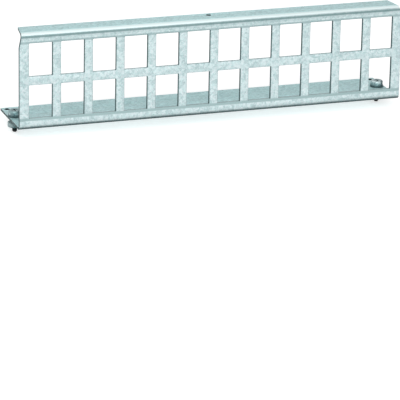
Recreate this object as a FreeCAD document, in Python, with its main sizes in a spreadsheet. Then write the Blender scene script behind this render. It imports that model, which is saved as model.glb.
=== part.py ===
import FreeCAD, Part
import math
import os
import Sketcher

# Patch panel: one folded galvanised sheet with two rows of module openings, and a clamp screw
# with its washer and round nut near each end of the bottom flange.
# X runs along the panel, Y from the front plate to the back, Z up. The origin is half way
# between the two clamp screws, on the underside of the bottom flange.

os.makedirs("parts", exist_ok=True)
doc = FreeCAD.newDocument("patch_panel")

# Places closer than this many millimetres count as the same
tolerance = 1e-6

# Driving dimensions in millimetres, and two counts
driving = [
    ("columns", 12, "module openings in a row"),
    ("rows", 2, "rows of module openings"),
    ("opening_width", 14.6, "module opening along X"),
    ("opening_height", 20.8, "module opening along Z"),
    ("opening_corner_radius", 0.4, "punched corners"),
    ("rib_width", 5.65, "upright rib between two openings"),
    ("end_post_width", 6.325, "upright between the last opening and the end"),
    ("bottom_margin", 7.4, "underside to the lower openings"),
    ("bar_height", 5.7, "bar between the two rows"),
    ("top_margin", 6.3, "upper openings to the top face"),
    ("sheet_thickness", 1.5, "galvanised sheet"),
    ("inner_bend_radius", 1.2, "inside of both bends"),
    ("bottom_flange_depth", 44.0, "front face to the back edge of the bottom flange"),
    ("top_flange_depth", 16.2, "front face to the back edge of the top flange"),
    ("corner_cut_drop", 9.0, "top face down to the start of the corner cut"),
    ("corner_inset_top", 1.7, "depth of the corner cut at the top bend"),
    ("corner_inset_back", 3.6, "depth of the corner cut at the back of the top flange"),
    ("cutter_margin", 2.0, "how far the corner cutter passes the end of the panel"),
    ("screw_end_distance", 4.4, "end of the panel to the clamp screw"),
    ("screw_edge_distance", 17.4, "back edge of the bottom flange to the clamp screw"),
    ("pin_hole_end_distance", 3.3, "end of the panel to the pin hole"),
    ("pin_hole_edge_distance", 3.4, "back edge of the bottom flange to the pin hole"),
    ("pin_hole_width", 3.3, "diameter of the two pin holes"),
    ("top_hole_edge_distance", 4.2, "back edge of the top flange to its hole"),
    ("top_hole_width", 3.3, "diameter of the hole in the top flange"),
    ("thread_width", 3.3, "outside diameter of the screw thread"),
    ("tip_reach", 3.2, "end of the screw below its nut"),
    ("tip_chamfer", 0.5, "chamfer at the end of the thread"),
    ("head_width", 7.8, "diameter of the pan head"),
    ("head_height", 3.1, "height of the pan head"),
    ("head_round", 0.9, "rounding of the top rim of the head"),
    ("recess_span", 4.2, "tip to tip of the cross recess"),
    ("recess_slot", 1.0, "width of each arm of the cross recess"),
    ("recess_depth", 1.7, "depth of the cross recess"),
    ("screw_hole_gap", 0.2, "radial gap between the thread and the flange"),
    ("washer_width", 8.6, "outside diameter of the washer"),
    ("washer_thickness", 0.6, "thickness of the washer"),
    ("washer_gap", 0.1, "radial gap between the thread and the washer"),
    ("nut_width", 8.8, "diameter of the round clamp nut"),
    ("nut_thickness", 3.1, "height of the round clamp nut"),
    ("nut_drop", 2.4, "underside of the bottom flange to the clamp nut"),
    ("nut_chamfer", 0.3, "chamfer on both rims of the clamp nut"),
    ("nut_gap", 0.02, "radial gap between the thread and the clamp nut"),
]

# Sizes and places that follow from the driving dimensions
derived = [
    ("column_pitch", "opening_width + rib_width"),
    ("row_pitch", "opening_height + bar_height"),
    ("lattice_length", "columns * opening_width + (columns - 1) * rib_width"),
    ("lattice_height", "rows * opening_height + (rows - 1) * bar_height"),
    ("panel_length", "lattice_length + 2 * end_post_width"),
    ("panel_height", "bottom_margin + lattice_height + top_margin"),
    ("panel_end", "panel_length / 2"),
    ("first_opening_side", "-lattice_length / 2"),
    ("front_face", "screw_edge_distance - bottom_flange_depth"),
    ("front_offset", "-front_face"),
    ("under_top", "panel_height - sheet_thickness"),
    ("outer_bend_radius", "inner_bend_radius + sheet_thickness"),
    ("corner_cut_start", "panel_height - corner_cut_drop"),
    ("corner_cut_top", "panel_end - corner_inset_top"),
    ("corner_cut_back", "panel_end - corner_inset_back"),
    ("cutter_end", "panel_end + cutter_margin"),
    ("screw_x", "panel_end - screw_end_distance"),
    ("pin_hole_x", "panel_end - pin_hole_end_distance"),
    ("pin_hole_y", "screw_edge_distance - pin_hole_edge_distance"),
    ("top_hole_y", "front_face + top_flange_depth - top_hole_edge_distance"),
    ("thread_radius", "thread_width / 2"),
    ("screw_hole_width", "thread_width + 2 * screw_hole_gap"),
    ("washer_top", "sheet_thickness + washer_thickness"),
    ("washer_radius", "washer_width / 2"),
    ("washer_bore_radius", "thread_radius + washer_gap"),
    ("head_top", "washer_top + head_height"),
    ("head_radius", "head_width / 2"),
    ("recess_reach", "recess_span / 2"),
    ("recess_side", "recess_slot / 2"),
    ("recess_reach_back", "-recess_reach"),
    ("recess_side_back", "-recess_side"),
    ("nut_top", "-nut_drop"),
    ("nut_bottom", "nut_top - nut_thickness"),
    ("nut_top_chamfer", "nut_top - nut_chamfer"),
    ("nut_bottom_chamfer", "nut_bottom + nut_chamfer"),
    ("nut_radius", "nut_width / 2"),
    ("nut_rim_radius", "nut_radius - nut_chamfer"),
    ("nut_bore_radius", "thread_radius + nut_gap"),
    ("tip_end", "nut_bottom - tip_reach"),
    ("tip_shoulder", "tip_end + tip_chamfer"),
    ("tip_radius", "thread_radius - tip_chamfer"),
]

sheet = doc.addObject("Spreadsheet::Sheet", "Dimensions")
for row, (alias, number, meaning) in enumerate(driving, start=1):
    sheet.set(f"A{row}", alias)
    sheet.set(f"B{row}", str(number))
    sheet.set(f"C{row}", meaning)
    sheet.setAlias(f"B{row}", alias)
for row, (alias, formula) in enumerate(derived, start=len(driving) + 2):
    sheet.set(f"A{row}", alias)
    sheet.set(f"B{row}", "=" + formula)
    sheet.setAlias(f"B{row}", alias)
doc.recompute()


def size(alias):
    return float(sheet.get(alias))


def bind(item, prop, alias):
    """The property follows one cell of the sheet."""
    item.setExpression(prop, f"Dimensions.{alias}")


def origin_feature(body, role):
    return next(item for item in body.Origin.OriginFeatures if item.Role == role)


def new_sketch(body, name, role, across=None, up=None, out=None):
    """A sketch on an origin plane of its own body, moved along and out of that plane."""
    sketch = body.newObject("Sketcher::SketchObject", name)
    sketch.AttachmentSupport = (origin_feature(body, role), [""])
    sketch.MapMode = "FlatFace"
    for letter, alias in (("x", across), ("y", up), ("z", out)):
        if alias:
            bind(sketch, f"AttachmentOffset.Base.{letter}", alias)
    return sketch


def dimension(sketch, kind, places, alias, start):
    """A dimension of the sketch that follows the sheet."""
    index = sketch.addConstraint(Sketcher.Constraint(kind, *places, start))
    bind(sketch, f"Constraints[{index}]", alias)


def place_point(sketch, line, end, across, up):
    """Holds one end of a line at a place of the sheet; None means on the axis."""
    if across:
        dimension(sketch, "DistanceX", (-1, 1, line, end), across, size(across))
    else:
        sketch.addConstraint(Sketcher.Constraint("PointOnObject", line, end, -2))
    if up:
        dimension(sketch, "DistanceY", (-1, 1, line, end), up, size(up))
    else:
        sketch.addConstraint(Sketcher.Constraint("PointOnObject", line, end, -1))


def outline(sketch, corners):
    """A closed polygon. Each corner is a pair of aliases, across and up."""
    points = [
        FreeCAD.Vector(size(across) if across else 0, size(up) if up else 0, 0)
        for across, up in corners
    ]
    ends = points[1:] + points[:1]
    lines = [
        sketch.addGeometry(Part.LineSegment(start, end), False)
        for start, end in zip(points, ends)
    ]
    for line, following in zip(lines, lines[1:] + lines[:1]):
        sketch.addConstraint(Sketcher.Constraint("Coincident", line, 2, following, 1))
    for line, (across, up) in zip(lines, corners):
        place_point(sketch, line, 1, across, up)


def round_hole(sketch, width, across, up):
    """A circle whose middle lies at a place of the sheet."""
    middle = FreeCAD.Vector(size(across) if across else 0, size(up) if up else 0, 0)
    normal = FreeCAD.Vector(0, 0, 1)
    circle = sketch.addGeometry(Part.Circle(middle, normal, size(width) / 2), False)
    dimension(sketch, "Diameter", (circle,), width, size(width))
    place_point(sketch, circle, 3, across, up)


def rounded_opening(sketch, width, height, radius):
    """A rectangle with round corners, its lower left corner at the sketch's own origin."""
    wide, high, corner = size(width), size(height), size(radius)
    sides = [
        ((corner, 0), (wide - corner, 0)),
        ((wide, corner), (wide, high - corner)),
        ((wide - corner, high), (corner, high)),
        ((0, high - corner), (0, corner)),
    ]
    middles = [
        (wide - corner, corner),
        (wide - corner, high - corner),
        (corner, high - corner),
        (corner, corner),
    ]
    lines = [
        sketch.addGeometry(
            Part.LineSegment(FreeCAD.Vector(*start, 0), FreeCAD.Vector(*end, 0)), False
        )
        for start, end in sides
    ]
    arcs = []
    quarter = math.pi / 2
    for turn, middle in enumerate(middles):
        circle = Part.Circle(FreeCAD.Vector(*middle, 0), FreeCAD.Vector(0, 0, 1), corner)
        arc = Part.ArcOfCircle(circle, (turn - 1) * quarter, turn * quarter)
        arcs.append(sketch.addGeometry(arc, False))
    for turn in range(4):
        following = lines[(turn + 1) % 4]
        kind = "Horizontal" if turn % 2 == 0 else "Vertical"
        sketch.addConstraint(Sketcher.Constraint(kind, lines[turn]))
        sketch.addConstraint(Sketcher.Constraint("Tangent", lines[turn], 2, arcs[turn], 1))
        sketch.addConstraint(Sketcher.Constraint("Tangent", arcs[turn], 2, following, 1))
    for arc in arcs[1:]:
        sketch.addConstraint(Sketcher.Constraint("Equal", arcs[0], arc))
    sketch.addConstraint(Sketcher.Constraint("PointOnObject", lines[0], 1, -1))
    sketch.addConstraint(Sketcher.Constraint("PointOnObject", lines[3], 2, -2))
    dimension(sketch, "Radius", (arcs[0],), radius, corner)
    dimension(sketch, "DistanceX", (-1, 1, lines[1], 1), width, wide)
    dimension(sketch, "DistanceY", (-1, 1, lines[2], 1), height, high)


def straight_edges(feature, y, z):
    """Names of the edges along X that lie at one height and depth."""
    names = []
    for number, edge in enumerate(feature.Shape.Edges, start=1):
        first, last = edge.Vertexes[0].Point, edge.Vertexes[-1].Point
        level = max(abs(first.z - z), abs(last.z - z), abs(first.y - y), abs(last.y - y))
        if level < tolerance and abs(first.x - last.x) > tolerance:
            names.append(f"Edge{number}")
    return names


def round_edges(body, name, base, edges, radius):
    fillet = body.newObject("PartDesign::Fillet", name)
    fillet.Base = (base, edges)
    bind(fillet, "Radius", radius)
    doc.recompute()
    return fillet


def cut_through(body, name, sketch):
    """A pocket through all that lies below the sketch."""
    pocket = body.newObject("PartDesign::Pocket", name)
    pocket.Profile = sketch
    pocket.Type = "ThroughAll"
    return pocket


def cut_down(body, name, sketch, depth):
    pocket = body.newObject("PartDesign::Pocket", name)
    pocket.Profile = sketch
    pocket.Type = "Length"
    bind(pocket, "Length", depth)
    return pocket


def pattern_step(name, sketch, axis, pitch, count):
    """One direction of a lattice: a straight row of copies along an axis of the sketch."""
    step = doc.addObject("PartDesign::LinearPattern", name)
    step.Direction = (sketch, [axis])
    step.Mode = "Spacing"
    bind(step, "Offset", pitch)
    bind(step, "Occurrences", count)
    return step


def turned(body, name, corners):
    """A solid of revolution about Z, from an outline in the XZ plane."""
    sketch = new_sketch(body, name + "_section", "XZ_Plane")
    outline(sketch, corners)
    turn = body.newObject("PartDesign::Revolution", name)
    turn.Profile = sketch
    turn.ReferenceAxis = (sketch, ["V_Axis"])
    turn.Angle = 360
    doc.recompute()
    return turn


def folded_sheet():
    """The panel: folded section, punched lattice, holes and cut corners."""
    body = doc.addObject("PartDesign::Body", "panel_sheet")
    section = new_sketch(body, "folded_section", "YZ_Plane", across="front_face")
    outline(section, [
        (None, None),
        ("bottom_flange_depth", None),
        ("bottom_flange_depth", "sheet_thickness"),
        ("sheet_thickness", "sheet_thickness"),
        ("sheet_thickness", "under_top"),
        ("top_flange_depth", "under_top"),
        ("top_flange_depth", "panel_height"),
        (None, "panel_height"),
    ])
    strip = body.newObject("PartDesign::Pad", "strip")
    strip.Profile = section
    strip.SideType = "Symmetric"
    bind(strip, "Length", "panel_length")
    doc.recompute()

    front = size("front_face")
    back_of_plate = front + size("sheet_thickness")
    outside = straight_edges(strip, front, 0)
    outside += straight_edges(strip, front, size("panel_height"))
    outer = round_edges(body, "outer_bends", strip, outside, "outer_bend_radius")
    inside = straight_edges(outer, back_of_plate, size("sheet_thickness"))
    inside += straight_edges(outer, back_of_plate, size("under_top"))
    round_edges(body, "inner_bends", outer, inside, "inner_bend_radius")

    module = new_sketch(
        body, "module_outline", "XZ_Plane", "first_opening_side", "bottom_margin", "front_offset"
    )
    rounded_opening(module, "opening_width", "opening_height", "opening_corner_radius")
    opening = cut_through(body, "module_opening", module)
    along = pattern_step("along_the_row", module, "H_Axis", "column_pitch", "columns")
    upward = pattern_step("row_on_row", module, "V_Axis", "row_pitch", "rows")
    lattice = body.newObject("PartDesign::MultiTransform", "module_lattice")
    lattice.Originals = [opening]
    lattice.Transformations = [along, upward]
    body.Tip = lattice
    doc.recompute()

    screw_sketch = new_sketch(body, "screw_hole_outline", "XY_Plane", out="sheet_thickness")
    round_hole(screw_sketch, "screw_hole_width", "screw_x", None)
    screw_hole = cut_down(body, "screw_hole", screw_sketch, "sheet_thickness")
    pin_sketch = new_sketch(body, "pin_hole_outline", "XY_Plane", out="sheet_thickness")
    round_hole(pin_sketch, "pin_hole_width", "pin_hole_x", "pin_hole_y")
    pin_hole = cut_down(body, "pin_hole", pin_sketch, "sheet_thickness")

    front_sketch = new_sketch(body, "front_corner_outline", "XZ_Plane", out="front_offset")
    outline(front_sketch, [
        ("panel_end", "corner_cut_start"),
        ("cutter_end", "corner_cut_start"),
        ("cutter_end", "panel_height"),
        ("corner_cut_top", "panel_height"),
    ])
    front_corner = cut_through(body, "front_corner", front_sketch)
    top_sketch = new_sketch(
        body, "top_corner_outline", "XY_Plane", up="front_face", out="panel_height"
    )
    outline(top_sketch, [
        ("corner_cut_top", "outer_bend_radius"),
        ("cutter_end", "outer_bend_radius"),
        ("cutter_end", "top_flange_depth"),
        ("corner_cut_back", "top_flange_depth"),
    ])
    top_corner = cut_down(body, "top_corner", top_sketch, "sheet_thickness")

    other_end = body.newObject("PartDesign::Mirrored", "other_end")
    other_end.Originals = [screw_hole, pin_hole, front_corner, top_corner]
    other_end.MirrorPlane = (origin_feature(body, "YZ_Plane"), [""])
    body.Tip = other_end
    doc.recompute()

    middle_sketch = new_sketch(body, "top_hole_outline", "XY_Plane", out="panel_height")
    round_hole(middle_sketch, "top_hole_width", None, "top_hole_y")
    cut_down(body, "top_hole", middle_sketch, "sheet_thickness")
    return body


def clamp_screw(label):
    """Pan head screw with a cross recess and a chamfered tip."""
    body = doc.addObject("PartDesign::Body", label)
    turn = turned(body, label + "_turned", [
        (None, "tip_end"),
        ("tip_radius", "tip_end"),
        ("thread_radius", "tip_shoulder"),
        ("thread_radius", "washer_top"),
        ("head_radius", "washer_top"),
        ("head_radius", "head_top"),
        (None, "head_top"),
    ])
    rim = [
        f"Edge{number}"
        for number, edge in enumerate(turn.Shape.Edges, start=1)
        if edge.BoundBox.ZMin > size("head_top") - tolerance
        and edge.BoundBox.XMax > size("head_radius") - tolerance
    ]
    round_edges(body, label + "_head_round", turn, rim, "head_round")
    cross = new_sketch(body, label + "_recess_outline", "XY_Plane", out="head_top")
    far, near = "recess_reach", "recess_side"
    far_back, near_back = "recess_reach_back", "recess_side_back"
    outline(cross, [
        (far, near_back),
        (far, near),
        (near, near),
        (near, far),
        (near_back, far),
        (near_back, near),
        (far_back, near),
        (far_back, near_back),
        (near_back, near_back),
        (near_back, far_back),
        (near, far_back),
        (near, near_back),
    ])
    cut_down(body, label + "_recess", cross, "recess_depth")
    return body


def washer(label):
    """Plain washer between the flange and the head."""
    body = doc.addObject("PartDesign::Body", label)
    turned(body, label + "_turned", [
        ("washer_bore_radius", "sheet_thickness"),
        ("washer_radius", "sheet_thickness"),
        ("washer_radius", "washer_top"),
        ("washer_bore_radius", "washer_top"),
    ])
    return body


def clamp_nut(label):
    """Round nut that waits on the thread, a gap below the flange."""
    body = doc.addObject("PartDesign::Body", label)
    turned(body, label + "_turned", [
        ("nut_bore_radius", "nut_bottom"),
        ("nut_rim_radius", "nut_bottom"),
        ("nut_radius", "nut_bottom_chamfer"),
        ("nut_radius", "nut_top_chamfer"),
        ("nut_rim_radius", "nut_top"),
        ("nut_bore_radius", "nut_top"),
    ])
    return body


bodies = [folded_sheet()]
for side, sign in (("left", "-"), ("right", "")):
    for piece, make in (("screw", clamp_screw), ("washer", washer), ("nut", clamp_nut)):
        fastener = make(f"{side}_{piece}")
        fastener.setExpression(".Placement.Base.x", f"{sign}Dimensions.screw_x")
        bodies.append(fastener)
doc.recompute()

for item in doc.Objects:
    if "Invalid" in item.State or "Error" in item.State:
        raise RuntimeError(f"{item.Label} failed: {item.State}")
for body in bodies:
    if body.Shape.isNull() or not body.Shape.isValid() or len(body.Shape.Solids) != 1:
        raise RuntimeError(f"{body.Label} isn't one valid solid")
for body in bodies:
    body.Shape.exportStep(f"parts/{body.Label}.step")
    box = body.Shape.BoundBox
    print(
        f"{body.Label}: {body.Shape.Volume:.2f} mm3,"
        f" x {box.XMin:.2f} {box.XMax:.2f}, y {box.YMin:.2f} {box.YMax:.2f},"
        f" z {box.ZMin:.2f} {box.ZMax:.2f}, {len(body.Shape.Faces)} faces"
    )
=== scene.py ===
import math
import bmesh
import bpy
from mathutils import Matrix, Vector


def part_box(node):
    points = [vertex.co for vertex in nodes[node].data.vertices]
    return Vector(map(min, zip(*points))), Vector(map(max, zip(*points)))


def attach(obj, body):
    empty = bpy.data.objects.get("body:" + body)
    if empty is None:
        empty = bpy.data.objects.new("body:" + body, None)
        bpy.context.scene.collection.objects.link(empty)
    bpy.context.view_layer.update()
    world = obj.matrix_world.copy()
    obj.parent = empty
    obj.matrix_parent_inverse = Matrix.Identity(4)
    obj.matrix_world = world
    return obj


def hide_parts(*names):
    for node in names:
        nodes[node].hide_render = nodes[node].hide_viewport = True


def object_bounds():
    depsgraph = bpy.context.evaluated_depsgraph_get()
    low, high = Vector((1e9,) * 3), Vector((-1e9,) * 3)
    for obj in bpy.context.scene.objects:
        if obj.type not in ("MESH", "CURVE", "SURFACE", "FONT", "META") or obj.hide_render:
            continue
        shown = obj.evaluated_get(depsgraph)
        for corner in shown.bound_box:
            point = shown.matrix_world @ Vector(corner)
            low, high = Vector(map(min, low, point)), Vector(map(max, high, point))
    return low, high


# Patch panel of folded galvanised sheet: two rows of module openings, clamp screws at both ends
# Metres throughout; X runs along the panel, Y from the front plate to the back, Z up

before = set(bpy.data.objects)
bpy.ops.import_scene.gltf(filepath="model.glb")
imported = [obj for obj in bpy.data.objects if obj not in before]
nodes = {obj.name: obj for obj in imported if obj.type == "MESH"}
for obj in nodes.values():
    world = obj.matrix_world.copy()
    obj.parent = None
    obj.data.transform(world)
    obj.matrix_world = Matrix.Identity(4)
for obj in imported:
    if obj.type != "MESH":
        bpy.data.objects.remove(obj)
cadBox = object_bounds()
mm = 0.001
print("frame loaded:", len(nodes), "nodes")


# Shader maths: a wrapped socket takes plain operators, and one method adds any other node
class Wire:
    def __init__(self, graph, socket):
        self.graph = graph
        self.socket = socket

    def join(self, operation, first, second):
        return self.graph.add("ShaderNodeMath", {"operation": operation}, {0: first, 1: second})

    def __add__(self, other):
        return self.join("ADD", self, other)

    def __radd__(self, other):
        return self.join("ADD", other, self)

    def __sub__(self, other):
        return self.join("SUBTRACT", self, other)

    def __rsub__(self, other):
        return self.join("SUBTRACT", other, self)

    def __mul__(self, other):
        return self.join("MULTIPLY", self, other)

    def __rmul__(self, other):
        return self.join("MULTIPLY", other, self)

    def __abs__(self):
        return self.graph.add("ShaderNodeMath", {"operation": "ABSOLUTE"}, {0: self})

    def other(self, name):
        return Wire(self.graph, self.socket.node.outputs[name])


class Graph:
    def __init__(self, tree):
        self.tree = tree

    def add(self, kind, settings=None, inputs=None, output=0):
        node = self.tree.nodes.new(kind)
        for key, value in (settings or {}).items():
            if key == "stops":
                self.setStops(node.color_ramp, value)
            else:
                setattr(node, key, value)
        for key, value in (inputs or {}).items():
            self.feed(node.inputs[key], value)
        return Wire(self, node.outputs[output])

    def setStops(self, ramp, stops):
        while len(ramp.elements) < len(stops):
            ramp.elements.new(0.5)
        for element, (place, colour) in zip(ramp.elements, stops):
            element.position = place
            element.color = (*colour, 1)

    def feed(self, socket, value):
        if isinstance(value, Wire):
            self.tree.links.new(value.socket, socket)
        elif socket.type == "RGBA":
            socket.default_value = (*value, 1)
        else:
            socket.default_value = value

    def seenRays(self):
        # One for what is seen straight, in a gloss or through glass, nought for the light itself
        seen = self.add("ShaderNodeLightPath", None, None, "Is Camera Ray")
        return seen + seen.other("Is Glossy Ray") + seen.other("Is Transmission Ray")


class Finish(Graph):
    def __init__(self, name):
        self.material = bpy.data.materials.new(name)
        self.material.use_nodes = True
        super().__init__(self.material.node_tree)
        self.shader = self.tree.nodes["Principled BSDF"]

    def set(self, **values):
        for key, value in values.items():
            self.feed(self.shader.inputs[key.replace("_", " ")], value)

    def place(self):
        return self.add("ShaderNodeTexCoord", output="Object")

    def axis(self, point, letter):
        return self.add("ShaderNodeSeparateXYZ", None, {0: point}, letter)

    def stretch(self, point, scale):
        inputs = {"Vector": point, "Scale": scale}
        return self.add("ShaderNodeMapping", {"vector_type": "POINT"}, inputs)

    def noise(self, point, scale, detail=2.0, roughness=0.5):
        inputs = {"Vector": point, "Scale": scale, "Detail": detail, "Roughness": roughness}
        return self.add("ShaderNodeTexNoise", {"normalize": True}, inputs)

    def cells(self, point, scale):
        inputs = {"Vector": point, "Scale": scale, "Randomness": 1.0}
        return self.add("ShaderNodeTexVoronoi", {"feature": "F1"}, inputs, "Color")

    def stripe(self, value, middle, reach):
        # One at the middle, fading to nothing at its reach
        return self.between(abs(value - middle), reach * 0.35, reach, 1.0, 0.0)

    def between(self, value, low, high, lowOut=0.0, highOut=1.0):
        # Smooth step from lowOut to highOut
        inputs = {
            "Value": value, "From Min": low, "From Max": high, "To Min": lowOut, "To Max": highOut,
        }
        return self.add("ShaderNodeMapRange", {"interpolation_type": "SMOOTHSTEP"}, inputs)

    def mix(self, factor, first, second, blend="MIX"):
        settings = {"data_type": "RGBA", "blend_type": blend, "clamp_factor": True}
        return self.add("ShaderNodeMix", settings, {0: factor, 6: first, 7: second}, 2)

    def bump(self, height, distance, strength=1.0):
        inputs = {"Height": height, "Distance": distance, "Strength": strength}
        return self.add("ShaderNodeBump", None, inputs)


# Sizes of the sheet; its ends and faces are read from the frame
sheetLow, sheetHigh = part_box("panel_sheet")
sheetSizes = {
    "thickness": 1.5 * mm,
    "bendRadius": 2.7 * mm,
    "edgeRoll": 0.14 * mm,
    "punchRoll": 0.5 * mm,
    "lowBandFoot": sheetLow.z + 5.65 * mm,
    "lowBandHead": sheetLow.z + 7.45 * mm,
    "highCrease": sheetHigh.z - 5.85 * mm,
}


def nearScrew(finish, point):
    # Distance along the panel from the nearer clamp screw, and which end of the panel it is at
    along = finish.axis(point, "X")
    whichEnd = finish.add("ShaderNodeMath", {"operation": "SIGN"}, {0: along})
    low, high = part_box("right_screw")
    return along - whichEnd * ((low.x + high.x) / 2), whichEnd


def flatDistance(finish, along, back):
    plan = finish.add("ShaderNodeCombineXYZ", None, {"X": along, "Y": back})
    return finish.add("ShaderNodeVectorMath", {"operation": "LENGTH"}, {0: plan}, "Value")


def zincSheet():
    finish = Finish("zincSheet")
    sheet = {
        "cell": 610,
        "fineCell": 1400,
        "dark": (0.385, 0.51, 0.52),
        "middle": (0.515, 0.635, 0.645),
        "pale": (0.62, 0.725, 0.735),
        "warmTint": (1.03, 0.99, 1.0),
        "coolTint": (0.97, 1.01, 1.005),
        # Painted shade colour for the sheared faces and their rolls
        "cutEdge": (0.02, 0.062, 0.066),
        # Painted shade colour inside the round holes
        "holeWall": (0.008, 0.018, 0.02),
        # Painted shade colour of the line below the top bend
        "creaseShade": (0.26, 0.37, 0.38),
        # Painted shade colour of the low band
        "lowBandShade": (0.315, 0.43, 0.435),
        # Painted shade colour under the top bend
        "bendShadeLine": (0.12, 0.2, 0.205),
        # Painted shade colour for the bottom bend and the washers' shadows
        "lowBendShade": (0.03, 0.06, 0.064),
        # Painted highlight colour on the top bend
        "bendHighlight": (0.76, 0.88, 0.885),
        # Painted reflection tint for the flanges
        "flange": (0.975, 1.15, 1.15),
        "creaseReach": 1.05 * mm,
        "bendShadeReach": 2.4 * mm,
        "bendShadeLineReach": 1.0 * mm,
        "raggedness": 0.5 * mm,
        # Painted shadow before each washer: its core, its reach and its offset
        "shadowCore": 4.0 * mm,
        "shadowReach": 4.9 * mm,
        "shadowPlace": (-0.5 * mm, -1.7 * mm),
    }
    point = finish.place()
    height = finish.axis(point, "Z")
    depth = finish.axis(point, "Y")
    front = finish.between(depth, sheetLow.y + 0.9 * mm, sheetLow.y + 1.1 * mm, 1.0, 0.0)
    bends = finish.between(depth, sheetLow.y + 2.5 * mm, sheetLow.y + 3.3 * mm, 1.0, 0.0)

    wander = finish.noise(point, 300, 3)
    shifted = finish.add(
        "ShaderNodeVectorMath", {"operation": "MULTIPLY_ADD"},
        {0: wander.other("Color"), 1: (0.0016, 0.0016, 0.0016), 2: point},
    )
    cells = finish.cells(shifted, sheet["cell"])
    fineCells = finish.cells(shifted, sheet["fineCell"])
    cloud = finish.noise(point, 38, 4, 0.6)
    grain = finish.noise(point, 1500, 2)
    spangle = (
        finish.axis(cells, "X") * 0.34 + finish.axis(fineCells, "Y") * 0.25
        + cloud * 0.2 + grain * 0.21
    )
    stops = [(0.28, sheet["dark"]), (0.5, sheet["middle"]), (0.72, sheet["pale"])]
    colour = finish.add("ShaderNodeValToRGB", {"stops": stops}, {"Fac": spangle})
    tint = finish.mix(
        finish.between(finish.axis(fineCells, "Z"), 0.2, 0.8), sheet["warmTint"], sheet["coolTint"]
    )
    colour = finish.mix(1.0, colour, tint, "MULTIPLY")

    # Painted shade along the press steps across the plate, and painted shade and highlight on the
    # outside of both bends
    ragged = (grain - 0.5) * sheet["raggedness"]
    # A thin line of painted shade across the plate below the top bend
    creaseShade = finish.stripe(height + ragged, sheetSizes["highCrease"], sheet["creaseReach"])
    colour = finish.mix(creaseShade * front * 0.75, colour, sheet["creaseShade"])
    foot, head = sheetSizes["lowBandFoot"], sheetSizes["lowBandHead"]
    # A band of painted shade across the plate, at the feet of the lower openings
    lowBandShade = (
        finish.between(height + ragged, foot - 0.35 * mm, foot + 0.35 * mm)
        * finish.between(height + ragged, head - 0.6 * mm, head + 0.5 * mm, 1.0, 0.0)
    )
    colour = finish.mix(lowBandShade * front, colour, sheet["lowBandShade"])
    # Painted shade under the bright part of the top bend: a soft band, then a darker line
    bendShade = finish.stripe(height + ragged, sheetHigh.z - 2.5 * mm, sheet["bendShadeReach"])
    colour = finish.mix(bendShade * front * 0.22, colour, sheet["bendShadeLine"])
    bendShadeLine = finish.stripe(
        height + ragged * 0.5, sheetHigh.z - 2.1 * mm, sheet["bendShadeLineReach"]
    )
    colour = finish.mix(bendShadeLine * front * 0.8, colour, sheet["bendShadeLine"])
    # Painted highlight along the upper part of the top bend
    bendHighlight = finish.between(height, sheetHigh.z - 1.5 * mm, sheetHigh.z - 0.9 * mm)
    bendHighlight = bendHighlight * finish.between(
        depth, sheetLow.y + 3.0 * mm, sheetLow.y + 4.5 * mm, 1.0, 0.0
    )
    colour = finish.mix(bendHighlight, colour, sheet["bendHighlight"])
    # Painted reflection tint: the flanges turned more teal than the plate
    flange = finish.mix(1.0 - bends, (1.0, 1.0, 1.0), sheet["flange"])
    colour = finish.mix(1.0, colour, flange, "MULTIPLY")
    # Painted shade on the bottom bend and the foot of the plate
    lowShade = finish.between(
        height + ragged, sheetLow.z + 2.0 * mm, sheetLow.z + 4.4 * mm, 1.0, 0.0
    )
    colour = finish.mix(lowShade * bends * 0.16, colour, sheet["lowBendShade"])
    lowBendShade = finish.between(
        height + ragged, sheetLow.z + 1.05 * mm, sheetLow.z + 2.8 * mm, 1.0, 0.0
    )
    colour = finish.mix(lowBendShade * bends * 0.95, colour, sheet["lowBendShade"])

    # Painted shadow of each washer on the sheet in front of it
    along = nearScrew(finish, point)[0]
    shadowX, shadowY = sheet["shadowPlace"]
    washerShadow = flatDistance(finish, along - shadowX, depth - shadowY)
    washerShadow = finish.between(washerShadow, sheet["shadowCore"], sheet["shadowReach"], 1.0, 0.0)
    colour = finish.mix(washerShadow * (1.0 - bends) * 0.7, colour, sheet["lowBendShade"])

    # Painted shade on the sheared faces and the rolls beside them
    cut = finish.add("ShaderNodeAttribute", {"attribute_name": "cutEdge"}, None, "Fac")
    colour = finish.mix(cut, colour, sheet["cutEdge"])
    # Painted shade on the walls of the round holes
    hole = finish.add("ShaderNodeAttribute", {"attribute_name": "holeWall"}, None, "Fac")
    colour = finish.mix(hole, colour, sheet["holeWall"])
    rough = finish.between(spangle, 0.25, 0.75, 0.4, 0.56)
    relief = finish.axis(cells, "Z") * 0.5 + cloud * 0.4 - (creaseShade + lowBandShade) * front * 1.2
    finish.set(
        Base_Color=colour, Metallic=0.35, Roughness=rough, Specular_IOR_Level=0.15,
        Normal=finish.bump(relief, 0.00005, 0.35),
    )
    return finish.material


def cloudySteel(finish, point, look):
    cloud = finish.noise(point, look["cloudScale"], 3, 0.6)
    stops = [(0.36, look["dark"]), (0.5, look["middle"]), (0.64, look["pale"])]
    return cloud, finish.add("ShaderNodeValToRGB", {"stops": stops}, {"Fac": cloud})


def endSteel(finish, point, colour, cloud, relief, look):
    # Painted shade from one height down, then the gloss and the fine relief
    height = finish.axis(point, "Z")
    below = finish.between(height, look["fadeLow"], look["fadeHigh"], 1.0, 0.0)
    rough = look["roughness"]
    finish.set(
        Base_Color=finish.mix(below, colour, look["below"]),
        Metallic=0.4, Specular_IOR_Level=0.15,
        Roughness=finish.between(cloud, 0.3, 0.7, rough - 0.06, rough + 0.1),
        Normal=finish.bump(relief, 0.00003, 0.3),
    )
    return finish.material


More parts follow.
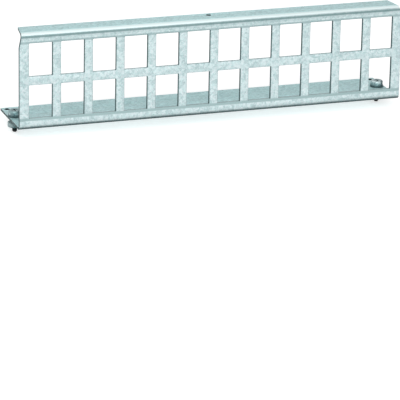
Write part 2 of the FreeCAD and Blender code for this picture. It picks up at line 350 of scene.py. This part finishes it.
def platedSteel(name, look):
    # Zinc plate on a washer or a nut: cloudy colour, painted shade on one side, faint turning
    # marks
    finish = Finish(name)
    point = finish.place()
    cloud, colour = cloudySteel(finish, point, look)
    along = nearScrew(finish, point)[0]
    # Painted shade on the right-hand side of the washer or nut
    shadedSide = finish.between(along, look["sideShadeFrom"], look["sideShadeTo"]) * look["sideShade"]
    colour = finish.mix(shadedSide, colour, look["below"])
    rings = finish.noise(finish.stretch(point, (1, 1, 14)), 500, 2)
    return endSteel(finish, point, colour, cloud, rings, look)


def headFinish(name, look):
    # Pan head: painted highlight on the shoulder, greyer crown, painted shade at the foot, in the
    # recess and on one side
    # The thread below it gets a near-black painted shade
    finish = Finish(name)
    point = finish.place()
    height = finish.axis(point, "Z")
    cloud, colour = cloudySteel(finish, point, look)
    along, whichEnd = nearScrew(finish, point)
    away = flatDistance(finish, along, finish.axis(point, "Y"))
    patch = finish.between(cloud, 0.4, 0.55)
    shoulder = finish.between(height, look["top"] - 1.7 * mm, look["top"] - 1.2 * mm)
    # Painted highlight on the shoulder, far brighter on the right-hand screw
    shoulderHighlight = finish.mix(whichEnd * 0.5 + 0.5, look["leftHighlight"], look["rightHighlight"])
    colour = finish.mix(shoulder * (0.5 + patch * 0.5), colour, shoulderHighlight)
    crown = finish.between(away, look["crownRadius"], look["crownRadius"] + 0.5 * mm, 1.0, 0.0)
    colour = finish.mix(crown * shoulder * 0.8, colour, look["crown"])
    # Painted shade on the head's right-hand flank, off the crown
    shadedSide = finish.between(along, look["sideShadeFrom"], look["sideShadeTo"]) * (1.0 - crown)
    colour = finish.mix(shadedSide * look["sideShade"], colour, look["side"])
    # Painted shade at the foot of the head, above the washer
    foot = finish.between(height, look["foot"] + 0.2 * mm, look["foot"] + 0.8 * mm, 1.0, 0.0)
    colour = finish.mix(foot * 0.6, colour, look["side"])
    # Painted shade in the recess on top of the head
    inRecess = finish.between(height, look["top"] - 0.25 * mm, look["top"] - 0.08 * mm, 1.0, 0.0)
    inRecess = inRecess * finish.between(
        away, look["recessRadius"], look["recessRadius"] + 0.2 * mm, 1.0, 0.0
    )
    colour = finish.mix(inRecess, colour, look["recess"])
    return endSteel(finish, point, colour, cloud, cloud, look)


screwLow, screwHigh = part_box("right_screw")
washerLow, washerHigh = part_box("right_washer")
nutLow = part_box("right_nut")[0]
screwLook = {
    "crownRadius": 2.6 * mm,
    "recessRadius": 2.1 * mm,
    "top": screwHigh.z,
    "foot": washerHigh.z,
    "cloudScale": 330,
    "dark": (0.1, 0.17, 0.185),
    "middle": (0.3, 0.42, 0.435),
    "pale": (0.5, 0.64, 0.655),
    # Painted highlight colours for the shoulders of the two heads
    "leftHighlight": (0.28, 0.41, 0.42),
    "rightHighlight": (0.72, 0.85, 0.86),
    "crown": (0.26, 0.35, 0.365),
    # Colour of the painted shade on the head's right-hand flank and at its foot
    "side": (0.03, 0.07, 0.08),
    # Painted shade colour in the head's recess
    "recess": (0.02, 0.045, 0.05),
    # Painted shade colour for the thread below the head
    "below": (0.006, 0.011, 0.012),
    # Painted shade on the right-hand side: its strength and where it starts and ends
    "sideShade": 0.85,
    "sideShadeFrom": 0.45 * mm,
    "sideShadeTo": 1.75 * mm,
    "fadeLow": screwLow.z + 3.0 * mm,
    "fadeHigh": screwLow.z + 5.5 * mm,
    "roughness": 0.3,
}
washerLook = {
    "cloudScale": 420,
    # The washer's colours are kept darker than the other zinc parts: painted shade under the head
    "dark": (0.06, 0.12, 0.13),
    "middle": (0.12, 0.2, 0.21),
    "pale": (0.2, 0.3, 0.31),
    # Painted shade colour for the washer's foot and right-hand side
    "below": (0.03, 0.07, 0.08),
    # Painted shade on the right-hand side: its strength and where it starts and ends
    "sideShade": 0.3,
    "sideShadeFrom": -3.75 * mm,
    "sideShadeTo": -0.85 * mm,
    "fadeLow": washerLow.z + 0.25 * mm,
    "fadeHigh": washerLow.z + 0.5 * mm,
    "roughness": 0.32,
}
nutLook = {
    "cloudScale": 300,
    "dark": (0.2, 0.27, 0.275),
    "middle": (0.3, 0.385, 0.39),
    "pale": (0.4, 0.49, 0.495),
    # Painted shade colour for the nut's foot and right-hand side
    "below": (0.07, 0.14, 0.148),
    # Painted shade on the right-hand side: its strength and where it starts and ends
    "sideShade": 0.8,
    "sideShadeFrom": -3.75 * mm,
    "sideShadeTo": -0.85 * mm,
    "fadeLow": nutLow.z + 0.1 * mm,
    "fadeHigh": nutLow.z + 0.9 * mm,
    "roughness": 0.42,
}
finishes = {
    "sheet": zincSheet(),
    "screw": headFinish("screwZinc", screwLook),
    "washer": platedSteel("washerZinc", washerLook),
    "nut": platedSteel("nutZinc", nutLook),
}
print("materials made:", len(finishes))


def meshPiece(name, shape, finish, slot, *replaced):
    mesh = bpy.data.meshes.new(name)
    shape.to_mesh(mesh)
    shape.free()
    piece = bpy.data.objects.new(name, mesh)
    bpy.context.scene.collection.objects.link(piece)
    mesh.materials.append(finish)
    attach(piece, "root")
    if replaced:
        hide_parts(*replaced)
    return piece


def nodeShape(node):
    # Working copy of a CAD node, its loose triangles merged and its flat faces joined
    shape = bmesh.new()
    shape.from_mesh(nodes[node].data)
    bmesh.ops.remove_doubles(shape, verts=shape.verts, dist=1e-6)
    bmesh.ops.dissolve_limit(
        shape, angle_limit=math.radians(0.3), verts=shape.verts, edges=shape.edges
    )
    return shape


def rollEdges(shape, width, sharp=40, segments=2, only=None, clamp=True):
    # Small round on every sharp edge, as punching and tumbling leave it
    hard = [
        edge for edge in shape.edges
        if edge.is_manifold and edge.calc_face_angle() > math.radians(sharp)
        and (only is None or only(edge))
    ]
    bmesh.ops.bevel(
        shape, geom=hard, offset=width, offset_type="OFFSET", affect="EDGES",
        segments=segments, profile=0.5, material=-1, clamp_overlap=clamp,
    )


def smoothShade(piece, angle=35):
    for face in piece.data.polygons:
        face.use_smooth = True
    piece.data.set_sharp_from_angle(angle=math.radians(angle))


def foldedSheet():
    shape = nodeShape("panel_sheet")
    plateFoot = sheetLow.z + sheetSizes["bendRadius"]
    plateHead = sheetHigh.z - sheetSizes["bendRadius"]

    def onPlateFront(edge):
        return all(
            vert.co.y < sheetLow.y + 0.01 * mm and plateFoot < vert.co.z < plateHead
            for vert in edge.verts
        )

    def elsewhere(edge):
        # The punched front edges are already round, and keep their own faces
        return all(vert.co.y > sheetLow.y + 0.6 * mm for vert in edge.verts)

    rollEdges(shape, sheetSizes["punchRoll"], segments=3, only=onPlateFront, clamp=False)
    rollEdges(shape, sheetSizes["edgeRoll"], only=elsewhere)
    piece = meshPiece("panelSheet", shape, finishes["sheet"], "galvanised_sheet", "panel_sheet")
    markEdgeAndHoleShade(piece, plateFoot, plateHead)
    smoothShade(piece)
    return piece


def holePlaces():
    # Middle of every round hole, seen from above, and how far from it its wall reaches
    hole = {
        "screwReach": 2.0 * mm,
        "smallReach": 1.82 * mm,
        "pinFromEnd": 3.3 * mm,
        "pinFromEdge": 3.4 * mm,
        "topFromFront": 12.0 * mm,
    }
    places = [
        ((low + high) / 2, hole["screwReach"])
        for low, high in (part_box("left_screw"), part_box("right_screw"))
    ]
    pinBack = sheetHigh.y - hole["pinFromEdge"]
    for along in (sheetLow.x + hole["pinFromEnd"], sheetHigh.x - hole["pinFromEnd"]):
        places.append((Vector((along, pinBack, 0)), hole["smallReach"]))
    places.append((Vector((0, sheetLow.y + hole["topFromFront"], 0)), hole["smallReach"]))
    return places


def markEdgeAndHoleShade(piece, plateFoot, plateHead):
    # Sheared faces stand square to the sheet: through the plate, and round both flanges. These
    # faces, the rolls on the plate and the walls of the round holes are marked for painted shade
    mesh = piece.data
    cutEdge = mesh.attributes.new("cutEdge", "FLOAT", "FACE")
    holeWall = mesh.attributes.new("holeWall", "FLOAT", "FACE")
    plateBack = sheetLow.y + sheetSizes["thickness"]
    flangeStart = sheetLow.y + sheetSizes["bendRadius"] + 0.3 * mm
    holes = holePlaces()
    for face in mesh.polygons:
        normal, middle = face.normal, face.center
        inHole = abs(normal.z) < 0.95 and any(
            (middle.xy - place.xy).length < reach for place, reach in holes
        )
        cut = 0.0
        if middle.y < plateBack + 0.01 * mm and plateFoot < middle.z < plateHead:
            # Painted shade on the plate's cut walls and rolls: full on the walls and the
            # left-facing rolls, about a third on the right-facing rolls, a little on the rolls
            # facing up or down
            strength = 0.3 if 0 < normal.x < 0.97 else 1.0
            cut = strength * abs(normal.x) ** 0.7 + 0.3 * abs(normal.z)
        # Full painted shade on the panel's ends and on the flanges' cut edges
        elif abs(normal.x) > 0.7 or (abs(normal.z) < 0.3 and middle.y > flangeStart):
            cut = 1.0
        cutEdge.data[face.index].value = min(1.0, cut)
        holeWall.data[face.index].value = 1.0 if inHole else 0.0


foldedSheet()
print("sheet dressed")


def flatWasher(side):
    washer = {"roll": 0.1 * mm}
    shape = nodeShape(f"{side}_washer")
    rollEdges(shape, washer["roll"])
    piece = meshPiece(f"{side}Washer", shape, finishes["washer"], "washer_steel", f"{side}_washer")
    smoothShade(piece)


def roundNut(side):
    nut = {"roll": 0.25 * mm}
    shape = nodeShape(f"{side}_nut")
    rollEdges(shape, nut["roll"])
    piece = meshPiece(f"{side}Nut", shape, finishes["nut"], "nut_steel", f"{side}_nut")
    smoothShade(piece)


def clampScrew(side):
    # Pan head cut from the CAD screw, and a wound thread in place of its plain shank
    low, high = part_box(f"{side}_screw")
    screw = {
        "headBase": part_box(f"{side}_washer")[1].z,
        "crest": 1.65 * mm,
        "root": 1.27 * mm,
        "pitch": 0.7 * mm,
        "stepsPerTurn": 30,
        "lead": 0.45 * mm,
        "roll": 0.1 * mm,
        "headSink": 0.1 * mm,
    }
    middle = (low + high) / 2
    shape = nodeShape(f"{side}_screw")
    bmesh.ops.bisect_plane(
        shape, geom=shape.verts[:] + shape.edges[:] + shape.faces[:], dist=1e-7,
        plane_co=(0, 0, screw["headBase"] - screw["headSink"]), plane_no=(0, 0, 1),
        clear_inner=True,
    )
    rollEdges(shape, screw["roll"])

    thread = bmesh.new()
    length = screw["headBase"] - low.z
    profile = [
        (screw["root"], 0.0), (screw["crest"], 0.4), (screw["crest"], 0.58), (screw["root"], 1.0)
    ]
    points = [
        thread.verts.new((middle.x + away, middle.y, screw["headBase"] - drop * screw["pitch"]))
        for away, drop in profile
    ]
    lines = [thread.edges.new(pair) for pair in zip(points, points[1:])]
    steps = round((length / screw["pitch"] - 1) * screw["stepsPerTurn"])
    bmesh.ops.spin(
        thread, geom=points + lines, cent=middle, axis=(0, 0, 1),
        dvec=(0, 0, -screw["pitch"] / screw["stepsPerTurn"]),
        angle=2 * math.pi * steps / screw["stepsPerTurn"], steps=steps, use_merge=False,
    )
    bmesh.ops.remove_doubles(thread, verts=thread.verts, dist=1e-6)
    bmesh.ops.create_cone(
        thread, cap_ends=True, segments=screw["stepsPerTurn"], depth=length,
        radius1=screw["root"], radius2=screw["root"],
        matrix=Matrix.Translation((middle.x, middle.y, low.z + length / 2)),
    )
    for vert in thread.verts:
        # The last turn runs out towards the tip, and ends with it
        vert.co.z = max(vert.co.z, low.z)
        away = Vector((vert.co.x - middle.x, vert.co.y - middle.y))
        most = screw["crest"] - max(0.0, low.z + screw["lead"] - vert.co.z)
        if away.length > most:
            away *= most / away.length
            vert.co.x, vert.co.y = middle.x + away.x, middle.y + away.y
    bmesh.ops.recalc_face_normals(thread, faces=thread.faces)
    wound = bpy.data.meshes.new("thread")
    thread.to_mesh(wound)
    thread.free()
    shape.from_mesh(wound)
    bpy.data.meshes.remove(wound)
    piece = meshPiece(f"{side}Screw", shape, finishes["screw"], "screw_steel", f"{side}_screw")
    smoothShade(piece)


for side in ("left", "right"):
    flatWasher(side)
    roundNut(side)
    clampScrew(side)
print("fasteners dressed")


def floorAndLight():
    studio = {
        "floorSize": 6.0,
        "floorDrop": 0.4 * mm,
        "fill": 0.34,
        "keyPower": 38,
        "keySize": 1.3,
        "keyPlace": (-0.5, -1.75, 1.15),
        "keyAim": (0, 0, 0.03),
        "floorGlow": 0.62,
    }
    shape = bmesh.new()
    bmesh.ops.create_grid(shape, x_segments=1, y_segments=1, size=studio["floorSize"] / 2)
    bmesh.ops.translate(shape, verts=shape.verts, vec=(0, 0, cadBox[0][2] - studio["floorDrop"]))
    mesh = bpy.data.meshes.new("floor")
    shape.to_mesh(mesh)
    shape.free()
    floor = bpy.data.objects.new("floor", mesh)
    bpy.context.scene.collection.objects.link(floor)
    mesh.materials.append(floorFinish(studio["floorGlow"]))

    world = bpy.data.worlds.new("studio")
    bpy.context.scene.world = world
    world.use_nodes = True
    graph = Graph(world.node_tree)
    background = graph.tree.nodes["Background"]
    strength = graph.add("ShaderNodeMapRange", None, {
        "Value": graph.seenRays(), "To Min": studio["fill"], "To Max": 1.0,
    })
    graph.feed(background.inputs["Color"], (1, 1, 1))
    graph.feed(background.inputs["Strength"], strength)

    lamp = bpy.data.lights.new("key", "AREA")
    lamp.energy = studio["keyPower"]
    lamp.size = studio["keySize"]
    holder = bpy.data.objects.new("key", lamp)
    bpy.context.scene.collection.objects.link(holder)
    holder.location = studio["keyPlace"]
    aim = Vector(studio["keyAim"]) - Vector(studio["keyPlace"])
    holder.rotation_euler = aim.to_track_quat("-Z", "Y").to_euler()


def floorFinish(glow):
    finish = Finish("paleFloor")
    finish.set(
        Base_Color=(0.8, 0.8, 0.8), Roughness=0.9, Specular_IOR_Level=0.0,
        Emission_Color=(1, 1, 1), Emission_Strength=finish.seenRays() * glow,
    )
    return finish.material


def photoCamera():
    # Where the photograph was taken from, fitted to the edges of the panel in it
    view = {
        "place": (-0.585444, -1.686827, 0.547033),
        "right": (0.94625629, -0.32292402, 0.01786381),
        "up": (0.088759, 0.31240852, 0.94579213),
        "lens": 266.139,
    }
    camera = bpy.data.cameras.new("photoCamera")
    camera.lens = view["lens"]
    camera.sensor_width = 36
    camera.sensor_fit = "HORIZONTAL"
    holder = bpy.data.objects.new("photoCamera", camera)
    bpy.context.scene.collection.objects.link(holder)
    right, up = Vector(view["right"]), Vector(view["up"])
    turn = Matrix((right, up, right.cross(up))).transposed().to_4x4()
    holder.matrix_world = Matrix.Translation(view["place"]) @ turn
    bpy.context.scene.camera = holder


floorAndLight()
photoCamera()
bpy.context.scene.view_settings.view_transform = "Standard"
print("stage and camera set")
